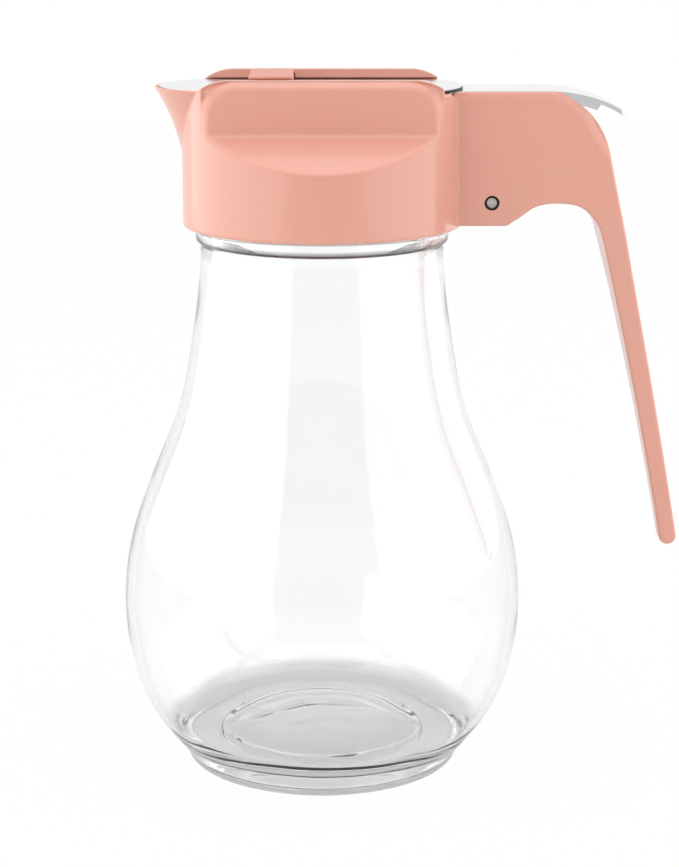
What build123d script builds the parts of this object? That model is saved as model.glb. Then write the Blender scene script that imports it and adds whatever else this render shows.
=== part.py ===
from build123d import *
from math import asin, ceil, cos, degrees, radians, sin
import os

os.makedirs("parts", exist_ok=True)

# All sizes are in millimetres. The origin is on the jar's axis, in the plane
# that the jar stands on. +Z is up, the spout points along -X and the handle
# stands at +X.

# ----- jar: body ------------------------------------------------------------
jar_height = 128.8
foot_radius = 28.4
foot_height = 1.6
foot_edge = 0.8
foot_ring_width = 6.0
push_up_step = 0.6
push_up_rise = 2.4
belly_radius = 42.85
belly_height = 34.5
glass_wall = 2.1
# points of the outer curve, as shares of the way out and of the way up
foot_to_belly = [(0.332, 0.134), (0.664, 0.347), (0.896, 0.62)]
# points of the outer curve, as shares of the way in and of the way up
belly_to_neck = [(0.081, 0.178), (0.348, 0.362), (0.71, 0.572), (0.896, 0.783)]
floor_height = 6.0
floor_edge_inset = 0.9
floor_disc_inset = 1.0
floor_disc_step = 0.5
floor_disc_rise = 1.8
# points of the inner curve over the thick heel, from the floor's edge to the
# steady wall, as shares of the way out and of the way up
inner_heel = [(0.35, 0.175), (0.7, 0.5)]

# ----- jar: neck, bead and threaded finish, with drops below the rim ---------
finish_radius = 24.7
finish_wall = 2.4
neck_step = 0.9
neck_drop = 18.3
bead_rise = 1.0
bead_drop = 15.4
bead_width = 3.0
mouth_depth = 10.8
rim_edge = 0.8

# ----- screw thread shared by jar and head ----------------------------------
thread_pitch = 4.0
thread_turns = 1.25
thread_drop = 9.2
thread_first_angle = 40.0
thread_overlap = 0.3
jar_thread_height = 1.2
jar_thread_root = 2.0
jar_thread_crest = 1.0
head_thread_root = 1.4
head_thread_crest = 0.9
thread_axial_offset = 1.6
thread_radial_clearance = 0.5
thread_bore_clearance = 0.9

# ----- gasket ---------------------------------------------------------------
gasket_thickness = 1.2
gasket_bore_clearance = 0.5
gasket_overhang = 0.5

# ----- head: collar, ridge, scoops and chamber, measured from the gasket -----
collar_wall = 2.4
collar_depth = 13.2
collar_edge_round = 0.5
head_rise = 18.0
shoulder_width = 10.4
shoulder_drop = 10.4
ridge_wall = 2.2
ridge_round = 1.4
scoop_depth = 10.9
scoop_rim_drop = 6.4
crease_round = 1.4
chamber_inset = 0.3
chamber_step = 3.0
chamber_side_wall = 2.0
chamber_end_wall = 5.2

# ----- sliding blade ---------------------------------------------------------
blade_half = 14.9
blade_thickness = 0.7
blade_drop = 2.1
blade_tail_radius = 23.0
slide_travel = 14.0

# ----- head: spout, deck and blade channel ----------------------------------
spout_setback = 10.2
spout_lip_wall = 0.7
spout_lip_drop = 2.2
spout_mid_inset = 3.5
spout_mid_drop = 6.7
spout_root_inset = 5.7
spout_root_drop = 14.2
spout_wall = 1.7
pour_hole_margin = 1.9
deck_thickness = 2.55
blade_side_clearance = 0.3
blade_under_clearance = 0.05
blade_over_clearance = 0.2
guide_overlap = 0.9

# ----- blade keeper ----------------------------------------------------------
keeper_setback = 4.0
keeper_length = 9.0
keeper_bite = 0.8
keeper_thickness = 1.1
keeper_stem_height = 0.6
keeper_stem_inset = 1.8
keeper_pad_inset = 3.5
keeper_pad_rise = 0.35
keeper_pad_corner = 1.6
keeper_pad_round = 0.2
keeper_fit = 0.15

# ----- handle ----------------------------------------------------------------
handle_drop = 2.5
handle_top_half = 9.75
handle_edge_round = 0.6
web_lift = 0.6
web_foot_half = 8.0
# arm, as (half depth, drop below the web's foot)
arm_halves = [(6.2, 12.4), (5.0, 25.4), (4.15, 38.4), (3.5, 51.4), (2.9, 64.4), (2.5, 75.4)]
# web's top corner, as (reach from the collar, drop from the handle's top)
handle_corner = [(17.5, 0.0), (20.9, 1.2), (25.5, 4.5), (29.6, 11.3), (30.8, 16.3)]
arm_lean = (0.225, -0.974)
arm_reach = 47.4
arm_end_height = 49.4
arm_end_width = 3.7
# finger arch, as (reach from the collar, rise over the web's foot)
finger_arch = [
    (29.2, -3.3),
    (28.4, -0.7),
    (26.8, 1.8),
    (24.3, 3.9),
    (20.9, 4.65),
    (17.5, 4.6),
    (14.6, 3.8),
    (11.8, 1.8),
    (9.8, 0.5),
    (7.4, 0.0),
]
channel_wall = 1.25
channel_depth = 4.3
cavity_ledge = 1.6
# hollow inside the web, as (reach from the collar, rise over the web's foot)
cavity_foot = [(2.3, 1.7), (8.2, 1.7), (17.3, 7.6), (23.2, 7.6), (24.4, 16.4)]
cavity_back_rise = 22.4

# ----- spring pin ------------------------------------------------------------
pin_reach = 5.9
pin_rise = 4.9
pin_radius = 1.15
pin_end_inset = 0.36
pin_fit = 0.02
pin_recess_width = 0.35
pin_recess_depth = 0.56

# ----- thumb lever -----------------------------------------------------------
lever_thickness = 0.8
lever_lap = 12.2
lever_front_clearance = 1.0
lever_side_clearance = 0.2
lever_bend_reach = 17.8
lever_bend_radius = 25.3
lever_reach = 34.4
lever_taper_reach = 20.8
lever_narrowing = 1.3
lever_corner = 2.5
flange_drop = 1.3
flange_front_reach = 2.3
flange_end_inset = 6.1
flange_slant = 1.2
tongue_setback = 1.3
tongue_half = 4.5
tongue_depth = 5.6
tongue_clearance = 1.6

# ----- rivets ----------------------------------------------------------------
rivet_setback = 4.0
rivet_spacing = 10.0
rivet_radius = 0.9
rivet_head_radius = 1.6
rivet_head_height = 0.35
rivet_head_clearance = 0.15
rivet_fit = 0.02

# ----- return spring ---------------------------------------------------------
wire_radius = 0.45
coil_clearance = 0.8
coil_gap = 0.55
coil_whole_turns = 4
long_leg_angle = 75.0
long_leg_lap = 1.1
short_leg_angle = 31.5
short_leg = 9.0
gap_steps = 300

# ----- radii of jar and collar -----------------------------------------------
bearing_inner_radius = foot_radius - foot_ring_width
floor_edge_radius = foot_radius - floor_edge_inset
floor_disc_radius = bearing_inner_radius - floor_disc_inset
mouth_radius = finish_radius - finish_wall
neck_radius = finish_radius + neck_step
bead_radius = neck_radius + bead_rise
jar_thread_crest_radius = finish_radius + jar_thread_height
head_thread_crest_radius = finish_radius + thread_radial_clearance
bore_radius = jar_thread_crest_radius + thread_bore_clearance
collar_radius = bore_radius + collar_wall
gasket_outer_radius = bore_radius - gasket_bore_clearance
gasket_inner_radius = mouth_radius - gasket_overhang
chamber_radius = gasket_inner_radius - chamber_inset
chamber_top_radius = collar_radius - chamber_end_wall

# ----- heights of jar and head -----------------------------------------------
neck_height = jar_height - neck_drop
bead_bottom = jar_height - bead_drop
bead_top = bead_bottom + bead_width
thread_start = jar_height - thread_drop
gasket_seat = jar_height + gasket_thickness
collar_bottom = gasket_seat - collar_depth
chamber_step_height = gasket_seat + chamber_step
head_top = gasket_seat + head_rise
ridge_corner_height = head_top - shoulder_drop
scoop_crease_height = head_top - scoop_depth
blade_top = head_top - blade_drop
blade_bottom = blade_top - blade_thickness
groove_top = blade_top + blade_over_clearance
deck_top = blade_bottom - blade_under_clearance
deck_bottom = deck_top - deck_thickness
spout_lip_height = head_top - spout_lip_drop
spout_mid_height = spout_lip_height - spout_mid_drop
spout_root_height = spout_lip_height - spout_root_drop
lever_top = blade_bottom
lever_bottom = lever_top - lever_thickness
tongue_bottom = lever_bottom - tongue_depth
lever_pocket_floor = lever_bottom - rivet_head_height - rivet_head_clearance
handle_top = head_top - handle_drop
channel_floor = handle_top - channel_depth
web_bottom = collar_bottom + web_lift
pin_height = web_bottom + pin_rise
keeper_bar_top = groove_top + keeper_thickness
keeper_pad_bottom = keeper_bar_top + keeper_stem_height
keeper_pad_top = head_top + keeper_pad_rise

# ----- half widths across the head and the handle ------------------------------
channel_side = blade_half + blade_side_clearance
trough_half = blade_half - guide_overlap
spout_lip_radius = channel_side + spout_lip_wall
spout_mid_radius = spout_lip_radius - spout_mid_inset
spout_root_radius = spout_lip_radius - spout_root_inset
pour_hole_radius = blade_half - pour_hole_margin
ridge_half = channel_side + ridge_wall
keeper_half = channel_side + keeper_bite
keeper_pad_half = trough_half - keeper_pad_inset
keeper_stem_half = keeper_pad_half - keeper_stem_inset
lever_channel_half = handle_top_half - channel_wall
lever_half = lever_channel_half - lever_side_clearance
lever_tip_half = lever_half - lever_narrowing
cavity_half = lever_channel_half - cavity_ledge
web_spread = (handle_top_half - web_foot_half) / (handle_top - web_bottom)
web_half_at_pin = web_foot_half + web_spread * pin_rise
pin_half_length = web_half_at_pin - pin_end_inset
pin_recess_floor = web_half_at_pin - pin_recess_depth

# ----- places along the head and the handle --------------------------------------
ridge_flat_half = collar_radius - shoulder_width
scoop_slope = scoop_rim_drop / (collar_radius - ridge_half)
spout_centre = spout_setback - collar_radius
keeper_middle = spout_centre + keeper_setback + keeper_length / 2
blade_tail = collar_radius
lever_front = blade_tail - lever_lap
lever_pocket_front = lever_front - lever_front_clearance
lever_bend_start = collar_radius + lever_bend_reach
lever_taper_start = collar_radius + lever_taper_reach
lever_tip = collar_radius + lever_reach
flange_front = collar_radius + flange_front_reach
flange_back = lever_tip - flange_end_inset
rivet_x = lever_front + rivet_setback
rivet_spots = [(rivet_x, -rivet_spacing / 2), (rivet_x, rivet_spacing / 2)]
pin_x = collar_radius + pin_reach
tongue_back = pin_x + tongue_setback
cavity_back = tongue_back + slide_travel + tongue_clearance
coil_radius = pin_radius + coil_clearance + wire_radius
coil_pitch = 2 * wire_radius + coil_gap
coil_sweep = 180.0 - long_leg_angle + short_leg_angle + 360.0 * coil_whole_turns
coil_length = coil_pitch * coil_sweep / 360.0
long_leg_rise = tongue_bottom + long_leg_lap - pin_height
long_leg_slope = radians(long_leg_angle)
long_leg = (long_leg_rise - coil_radius * cos(long_leg_slope)) / sin(long_leg_slope)
# longer than the whole part, for stock and cuts that go right through it
wide = 200.0
# places nearer to each other than this are the same
touch = 0.01


def thread_ridge(root_radius, crest_radius, first_height, root_width, crest_width):
    """A helical ridge that rises from a wall at root_radius to crest_radius."""
    rise = crest_radius - root_radius
    foot = -thread_overlap if rise > 0 else thread_overlap
    foot_width = root_width + thread_overlap * (root_width - crest_width) / abs(rise)
    with BuildPart() as ridge:
        with BuildLine():
            path = Helix(
                pitch=thread_pitch,
                height=thread_turns * thread_pitch,
                radius=root_radius,
                center=(0, 0, first_height),
            )
        start = Plane(origin=path @ 0, x_dir=(1, 0, 0), z_dir=path % 0)
        with BuildSketch(start):
            with BuildLine():
                Polyline(
                    (foot, -foot_width / 2),
                    (rise, -crest_width / 2),
                    (rise, crest_width / 2),
                    (foot, foot_width / 2),
                    close=True,
                )
            make_face()
        sweep(path=path, is_frenet=True)
    return Rot(0, 0, thread_first_angle) * ridge.part


def lever_band(front, back, depth, near_side, width, slant=0.0):
    """Sheet metal that follows the lever's top, depth thick, from y = near_side on."""
    inner_radius = lever_bend_radius - depth
    top_angle = degrees(asin((back - lever_bend_start) / lever_bend_radius))
    low_angle = degrees(asin((back - lever_bend_start - slant) / inner_radius))
    with BuildPart() as band:
        with BuildSketch(Plane.XZ.offset(-near_side - width)):
            with BuildLine():
                upper = Line((front, lever_top), (lever_bend_start, lever_top))
                upper_arc = JernArc(upper @ 1, (1, 0), lever_bend_radius, -top_angle)
                lower = Line((front, lever_top - depth), (lever_bend_start, lever_top - depth))
                lower_arc = JernArc(lower @ 1, (1, 0), inner_radius, -low_angle)
                Line(upper_arc @ 1, lower_arc @ 1)
                Line(upper @ 0, lower @ 0)
            make_face()
        extrude(amount=width)
    return band.part


# ----- glass jar ----------------------------------------------------------------
jar_thread = thread_ridge(
    finish_radius, jar_thread_crest_radius, thread_start, jar_thread_root, jar_thread_crest
)
belly_bulge = belly_radius - neck_radius
lower_body = [
    (foot_radius + out * (belly_radius - foot_radius), foot_height + up * (belly_height - foot_height))
    for out, up in foot_to_belly
]
upper_body = [
    (belly_radius - inward * belly_bulge, belly_height + up * (neck_height - belly_height))
    for inward, up in belly_to_neck
]
upper_body.append((neck_radius, neck_height))
steady_body = [lower_body[-1], (belly_radius, belly_height), *upper_body]
inner_body = [(r - glass_wall, z) for r, z in steady_body]
heel_radius, heel_height = inner_body[0]
inner_heel_points = [
    (
        floor_edge_radius + out * (heel_radius - floor_edge_radius),
        floor_height + up * (heel_height - floor_height),
    )
    for out, up in inner_heel
]
with BuildPart() as glass_jar:
    with BuildSketch(Plane.XZ):
        with BuildLine():
            dome = TangentArc(
                (0, push_up_rise), (bearing_inner_radius - foot_edge, push_up_step), tangent=(1, 0)
            )
            Line(dome @ 1, (bearing_inner_radius, 0))
            Line((bearing_inner_radius, 0), (foot_radius - foot_edge, 0))
            Line((foot_radius - foot_edge, 0), (foot_radius, foot_edge))
            Line((foot_radius, foot_edge), (foot_radius, foot_height))
            body = Spline((foot_radius, foot_height), *lower_body[:-1], *steady_body)
            Line(body @ 1, (neck_radius, bead_bottom))
            bead = ThreePointArc(
                (neck_radius, bead_bottom),
                (bead_radius, bead_bottom + bead_width / 2),
                (neck_radius, bead_top),
            )
            Polyline(
                bead @ 1,
                (finish_radius, bead_top),
                (finish_radius, jar_height - rim_edge),
                (finish_radius - rim_edge, jar_height),
                (mouth_radius + rim_edge, jar_height),
                (mouth_radius, jar_height - rim_edge),
                (mouth_radius, jar_height - mouth_depth),
            )
            inside = Spline(
                (mouth_radius, jar_height - mouth_depth),
                *reversed(inner_body),
                *reversed(inner_heel_points),
                (floor_edge_radius, floor_height),
            )
            Line(inside @ 1, (floor_disc_radius, floor_height))
            floor_step = Line(
                (floor_disc_radius, floor_height),
                (floor_disc_radius - floor_disc_step, floor_height + floor_disc_step),
            )
            floor_dome = TangentArc(
                (0, floor_height + floor_disc_rise), floor_step @ 1, tangent=(1, 0)
            )
            Line(floor_dome @ 0, dome @ 0)
        make_face()
    revolve(axis=Axis.Z)
    add(jar_thread)
glass_jar.part.label = "glass_jar"
export_step(glass_jar.part, "parts/glass_jar.step")

# ----- rim gasket ---------------------------------------------------------------
with BuildPart() as rim_gasket:
    with BuildSketch(Plane.XY.offset(jar_height)):
        Circle(gasket_outer_radius)
        Circle(gasket_inner_radius, mode=Mode.SUBTRACT)
    extrude(amount=gasket_thickness)
rim_gasket.part.label = "rim_gasket"
export_step(rim_gasket.part, "parts/rim_gasket.step")

# ----- handle, before it joins the head -------------------------------------------
corner_points = [(collar_radius + reach, handle_top - drop) for reach, drop in handle_corner]
arch_points = [(collar_radius + reach, web_bottom + rise) for reach, rise in finger_arch]
cavity_points = [(collar_radius + reach, web_bottom + rise) for reach, rise in cavity_foot]
with BuildPart() as handle:
    with BuildSketch(Plane.XZ.offset(-wide / 2)):
        with BuildLine():
            Line((bore_radius, handle_top), corner_points[0])
            corner = Spline(*corner_points, tangents=((1, 0), arm_lean))
            arm_end = (collar_radius + arm_reach, arm_end_height)
            back = TangentArc(corner @ 1, arm_end, tangent=corner % 1)
            lean = back % 1
            inner_end = back @ 1 + Vector(lean.Y, -lean.X) * arm_end_width
            TangentArc(back @ 1, inner_end, tangent=lean)
            arm_front = TangentArc(inner_end, arch_points[0], tangent=-lean)
            front = Spline(*arch_points, tangents=(arm_front % 1, (-1, 0)))
            Line(front @ 1, (bore_radius, web_bottom))
            Line((bore_radius, web_bottom), (bore_radius, handle_top))
        make_face()
    extrude(amount=wide)
    with BuildSketch(Plane.YZ):
        with BuildLine():
            sides = [
                Spline(
                    (side * web_foot_half, web_bottom),
                    *[(side * half, web_bottom - drop) for half, drop in arm_halves],
                    tangents=((-side * web_spread, -1), (0, -1)),
                )
                for side in (-1, 1)
            ]
            Line(sides[0] @ 1, sides[1] @ 1)
            Polyline(
                sides[0] @ 0,
                (-handle_top_half, handle_top),
                (handle_top_half, handle_top),
                sides[1] @ 0,
            )
        make_face()
    extrude(amount=wide, mode=Mode.INTERSECT)
    arm_end_half = arm_halves[-1][0]
    side_edges = edges().filter_by(lambda e: abs((e @ 0.5).Y) > arm_end_half - handle_edge_round)
    rims = side_edges.filter_by(lambda e: (e @ 0.5).X > bore_radius + handle_edge_round)
    fillet(rims, handle_edge_round)

# ----- pour head: collar, ridge, spout and handle in one moulding ------------------
head_thread = thread_ridge(
    bore_radius,
    head_thread_crest_radius,
    thread_start - thread_axial_offset,
    head_thread_root,
    head_thread_crest,
)
with BuildPart() as pour_head:
    with BuildSketch(Plane.XY.offset(collar_bottom)):
        Circle(collar_radius)
    extrude(amount=head_top - collar_bottom)
    fillet(edges().group_by(Axis.Z)[0], collar_edge_round)
    # the ridge's shoulders, seen from the side
    with BuildSketch(Plane.XZ.offset(-wide / 2)):
        with BuildLine():
            right = TangentArc(
                (ridge_flat_half, head_top), (collar_radius, ridge_corner_height), tangent=(1, 0)
            )
            left = TangentArc(
                (-ridge_flat_half, head_top), (-collar_radius, ridge_corner_height), tangent=(-1, 0)
            )
            Line(left @ 0, right @ 0)
            Polyline(
                right @ 1,
                (wide, ridge_corner_height),
                (wide, 0),
                (-wide, 0),
                (-wide, ridge_corner_height),
                left @ 1,
            )
        make_face()
    extrude(amount=wide, mode=Mode.INTERSECT)
    # finger scoops on both sides of the ridge
    with BuildSketch(Plane.YZ.offset(-wide / 2)):
        for side in (-1, 1):
            with BuildLine():
                Polyline(
                    (side * ridge_half, wide),
                    (side * ridge_half, scoop_crease_height),
                    (side * wide, scoop_crease_height - scoop_slope * (wide - ridge_half)),
                    (side * wide, wide),
                    close=True,
                )
            make_face()
    extrude(amount=wide, mode=Mode.SUBTRACT)
    on_walls = edges().filter_by(lambda e: abs(abs((e @ 0.5).Y) - ridge_half) < touch)
    fillet(on_walls.filter_by(lambda e: (e @ 0.5).Z > scoop_crease_height + touch), ridge_round)
    creases = edges().filter_by(lambda e: abs(abs((e @ 0.5).Y) - ridge_half) < touch)
    fillet(creases.filter_by(lambda e: abs((e @ 0.5).Z - scoop_crease_height) < touch), crease_round)
    # spout, turned about its own upright axis
    spout_plane = Plane(origin=(spout_centre, 0, 0), x_dir=(-1, 0, 0), z_dir=(0, 1, 0))
    with BuildSketch(spout_plane):
        with BuildLine():
            curve = ThreePointArc(
                (spout_lip_radius, spout_lip_height),
                (spout_mid_radius, spout_mid_height),
                (spout_root_radius, spout_root_height),
            )
            Polyline(curve @ 1, (0, spout_root_height), (0, spout_lip_height), curve @ 0)
        make_face()
    revolve(axis=Axis((spout_centre, 0, 0), (0, 0, 1)))
    add(handle.part)
    # collar bore and the stepped chamber above the jar's mouth
    with BuildSketch(Plane.XY.offset(collar_bottom)):
        Circle(bore_radius)
    extrude(amount=gasket_seat - collar_bottom, mode=Mode.SUBTRACT)
    with BuildSketch(Plane.XY.offset(gasket_seat)):
        Circle(chamber_radius)
    extrude(amount=chamber_step_height - gasket_seat, mode=Mode.SUBTRACT)
    with BuildSketch(Plane.XY.offset(chamber_step_height)):
        Circle(chamber_top_radius)
        Rectangle(wide, 2 * (ridge_half - chamber_side_wall), mode=Mode.INTERSECT)
    extrude(amount=deck_bottom - chamber_step_height, mode=Mode.SUBTRACT)
    # hollow of the spout under the pour hole
    with BuildSketch(spout_plane):
        with BuildLine():
            hollow = ThreePointArc(
                (pour_hole_radius, deck_top),
                (spout_mid_radius - spout_wall, spout_mid_height),
                (spout_root_radius - spout_wall, spout_root_height + spout_wall),
            )
            Polyline(
                hollow @ 1, (0, spout_root_height + spout_wall), (0, deck_top), hollow @ 0
            )
        make_face()
    revolve(axis=Axis((spout_centre, 0, 0), (0, 0, 1)), mode=Mode.SUBTRACT)
    # channel for the blade: wide at the blade, narrower above it
    with BuildSketch(Plane.XY.offset(deck_top)):
        with Locations((spout_centre, 0)):
            Circle(channel_side)
        with Locations((spout_centre, 0)):
            Rectangle(wide / 2, 2 * channel_side, align=(Align.MIN, Align.CENTER))
    extrude(amount=groove_top - deck_top, mode=Mode.SUBTRACT)
    with BuildSketch(Plane.XY.offset(groove_top)):
        Rectangle(wide, 2 * trough_half)
        with Locations((-wide / 2 + spout_centre - channel_side / 2, 0)):
            Rectangle(wide, 2 * channel_side)
    extrude(amount=wide, mode=Mode.SUBTRACT)
    # seats for the keeper's ends
    with BuildSketch(Plane.XY.offset(groove_top)):
        with Locations((keeper_middle, 0)):
            Rectangle(keeper_length + 2 * keeper_fit, 2 * (keeper_half + keeper_fit))
    extrude(amount=keeper_thickness + keeper_fit, mode=Mode.SUBTRACT)
    # pocket and channel for the lever, hollow of the web
    with BuildSketch(Plane.XY.offset(lever_pocket_floor)):
        with Locations((lever_pocket_front, 0)):
            Rectangle(wide, 2 * lever_channel_half, align=(Align.MIN, Align.CENTER))
    extrude(amount=wide, mode=Mode.SUBTRACT)
    with BuildSketch(Plane.XY.offset(channel_floor)):
        with Locations((collar_radius, 0)):
            Rectangle(wide, 2 * lever_channel_half, align=(Align.MIN, Align.CENTER))
    extrude(amount=wide, mode=Mode.SUBTRACT)
    with BuildSketch(Plane.XZ.offset(-cavity_half)):
        with BuildLine():
            Polyline(
                *cavity_points,
                (cavity_back, web_bottom + cavity_back_rise),
                (cavity_back, wide),
                (cavity_points[0][0], wide),
                close=True,
            )
        make_face()
    extrude(amount=2 * cavity_half, mode=Mode.SUBTRACT)
    # pin hole with a shallow recess round each end
    with BuildSketch(Plane.XZ.offset(-wide / 2)):
        with Locations((pin_x, pin_height)):
            Circle(pin_radius + pin_fit)
    extrude(amount=wide, mode=Mode.SUBTRACT)
    for face_y in (-wide / 2, pin_recess_floor):
        with BuildSketch(Plane.XZ.offset(face_y)):
            with Locations((pin_x, pin_height)):
                Circle(pin_radius + pin_recess_width)
        extrude(amount=wide / 2 - pin_recess_floor, mode=Mode.SUBTRACT)
    add(head_thread)
pour_head.part.label = "pour_head"
export_step(pour_head.part, "parts/pour_head.step")

# ----- sliding blade ----------------------------------------------------------------
with BuildPart() as slide_blade:
    with BuildSketch(Plane.XY.offset(blade_bottom)):
        with Locations((spout_centre, 0)):
            Circle(blade_half)
            Rectangle(wide, 2 * blade_half, align=(Align.MIN, Align.CENTER))
        ahead_of_tail = Rectangle(wide, wide, align=(Align.MAX, Align.CENTER), mode=Mode.PRIVATE)
        tail_middle = blade_tail - blade_tail_radius
        tail_arc = Pos(tail_middle, 0) * Circle(blade_tail_radius, mode=Mode.PRIVATE)
        add(Pos(tail_middle, 0) * ahead_of_tail + tail_arc, mode=Mode.INTERSECT)
    extrude(amount=blade_thickness)
    with BuildSketch(Plane.XY.offset(blade_bottom)):
        with Locations(*rivet_spots):
            Circle(rivet_radius + rivet_fit)
    extrude(amount=blade_thickness, mode=Mode.SUBTRACT)
slide_blade.part.label = "slide_blade"
export_step(slide_blade.part, "parts/slide_blade.step")

# ----- blade keeper --------------------------------------------------------------------
with BuildPart() as blade_keeper:
    with BuildSketch(Plane.XY.offset(groove_top)):
        with Locations((keeper_middle, 0)):
            Rectangle(keeper_length, 2 * keeper_half)
    extrude(amount=keeper_thickness)
    with BuildSketch(Plane.XY.offset(keeper_bar_top)):
        with Locations((keeper_middle, 0)):
            Rectangle(keeper_length - 2 * keeper_stem_inset, 2 * keeper_stem_half)
    extrude(amount=keeper_stem_height)
    with BuildSketch(Plane.XY.offset(keeper_pad_bottom)):
        with Locations((keeper_middle, 0)):
            RectangleRounded(keeper_length, 2 * keeper_pad_half, keeper_pad_corner)
    extrude(amount=keeper_pad_top - keeper_pad_bottom)
    fillet(faces().sort_by(Axis.Z)[-1].edges(), keeper_pad_round)
blade_keeper.part.label = "blade_keeper"
export_step(blade_keeper.part, "parts/blade_keeper.step")

# ----- thumb lever ------------------------------------------------------------------------
lever_plate = lever_band(lever_front, lever_tip, lever_thickness, -lever_half, 2 * lever_half)
lever_flanges = [
    lever_band(
        flange_front, flange_back, lever_thickness + flange_drop, side, lever_thickness, flange_slant
    )
    for side in (-lever_half, lever_half - lever_thickness)
]
with BuildPart() as thumb_lever:
    add(lever_plate)
    with BuildSketch(Plane.XY.offset(-wide)):
        with BuildLine():
            Polyline(
                (lever_front, lever_half),
                (lever_taper_start, lever_half),
                (lever_tip, lever_tip_half),
                (lever_tip, -lever_tip_half),
                (lever_taper_start, -lever_half),
                (lever_front, -lever_half),
                close=True,
            )
        make_face()
        fillet(vertices().group_by(Axis.X)[-1], lever_corner)
    extrude(amount=2 * wide, mode=Mode.INTERSECT)
    add(lever_flanges)
    with BuildSketch(Plane.YZ.offset(tongue_back - lever_thickness)):
        with Locations((0, tongue_bottom)):
            Rectangle(2 * tongue_half, tongue_depth, align=(Align.CENTER, Align.MIN))
    extrude(amount=lever_thickness)
    with BuildSketch(Plane.XY.offset(lever_bottom)):
        with Locations(*rivet_spots):
            Circle(rivet_radius + rivet_fit)
    extrude(amount=lever_thickness, mode=Mode.SUBTRACT)
thumb_lever.part.label = "thumb_lever"
export_step(thumb_lever.part, "parts/thumb_lever.step")

# ----- rivets that join the lever to the blade -------------------------------------------------
with BuildPart() as blade_rivets:
    for height, thickness, radius in (
        (lever_bottom - rivet_head_height, rivet_head_height, rivet_head_radius),
        (lever_bottom, blade_top - lever_bottom, rivet_radius),
        (blade_top, rivet_head_height, rivet_head_radius),
    ):
        with BuildSketch(Plane.XY.offset(height)):
            with Locations(*rivet_spots):
                Circle(radius)
        extrude(amount=thickness)
blade_rivets.part.label = "blade_rivets"
export_step(blade_rivets.part, "parts/blade_rivets.step")

# ----- spring pin ----------------------------------------------------------------------------------
with BuildPart() as spring_pin:
    with BuildSketch(Plane.XZ.offset(-pin_half_length)):
        with Locations((pin_x, pin_height)):
            Circle(pin_radius)
    extrude(amount=2 * pin_half_length)
spring_pin.part.label = "spring_pin"
export_step(spring_pin.part, "parts/spring_pin.step")

# ----- return spring: a coil round the pin with two straight legs -----------------------------------
with BuildPart() as coil:
    with BuildLine() as wire_path:
        turns = Helix(pitch=coil_pitch, height=coil_length, radius=coil_radius)
        short_end = turns @ 0 - (turns % 0) * short_leg
        Line(short_end, turns @ 0)
        Line(turns @ 1, turns @ 1 + (turns % 1) * long_leg)
    with BuildSketch(Plane(origin=short_end, z_dir=turns % 0)):
        Circle(wire_radius)
    sweep(path=wire_path.wires()[0], is_frenet=False, transition=Transition.RIGHT)
start_angle = radians(short_leg_angle - 90.0)
spring_place = Plane(
    origin=(pin_x, -coil_length / 2, pin_height),
    x_dir=(cos(start_angle), 0, sin(start_angle)),
    z_dir=(0, 1, 0),
)
return_spring = spring_place.location * coil.part
return_spring.label = "return_spring"
export_step(return_spring, "parts/return_spring.step")
turn_points = [turns @ (step / gap_steps) for step in range(gap_steps + 1)]
turn_steps = ceil(gap_steps * 360.0 / coil_sweep)
apart = [
    (turn_points[step] - turn_points[other]).length
    for step in range(gap_steps + 1)
    for other in range(step + turn_steps // 2, gap_steps + 1)
]
print("least gap between the spring's turns", round(min(apart) - 2 * wire_radius, 2))
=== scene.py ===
"""Looks of a syrup dispenser: a glass jar, a pink pouring head, a metal gate and a thumb lever.

Every length is in metres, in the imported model's own frame: +Z up, the spout
towards -X, the handle towards +X.
"""

import logging
import math
from dataclasses import dataclass
from enum import Enum
from typing import Callable, Optional, Sequence, Union

import bmesh
import bpy
from mathutils import Matrix, Vector, noise


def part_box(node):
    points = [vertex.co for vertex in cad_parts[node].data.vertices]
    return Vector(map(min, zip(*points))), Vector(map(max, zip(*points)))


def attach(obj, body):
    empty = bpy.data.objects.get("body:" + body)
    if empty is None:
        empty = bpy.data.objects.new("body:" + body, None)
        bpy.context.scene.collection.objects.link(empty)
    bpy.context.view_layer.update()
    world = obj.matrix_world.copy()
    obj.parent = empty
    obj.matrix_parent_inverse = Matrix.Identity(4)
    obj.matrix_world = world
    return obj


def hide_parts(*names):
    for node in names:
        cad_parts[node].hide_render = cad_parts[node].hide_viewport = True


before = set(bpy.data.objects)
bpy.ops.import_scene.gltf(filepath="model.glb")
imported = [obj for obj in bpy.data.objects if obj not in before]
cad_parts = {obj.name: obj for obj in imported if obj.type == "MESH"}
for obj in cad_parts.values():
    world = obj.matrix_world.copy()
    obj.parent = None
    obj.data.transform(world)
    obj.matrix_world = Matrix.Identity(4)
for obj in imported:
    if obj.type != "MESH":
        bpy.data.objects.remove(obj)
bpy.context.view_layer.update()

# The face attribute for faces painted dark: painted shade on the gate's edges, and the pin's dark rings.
PAINTED_SHADE_AND_RING = "painted_shade_and_ring"
MM = 0.001
SHARP_EDGE = math.radians(50.0)
log = logging.getLogger("dispenser")

Number = Union[int, float]
Colour = tuple[float, float, float]
Point2 = tuple[float, float]


# ----- shader maths -------------------------------------------------------------------


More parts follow.
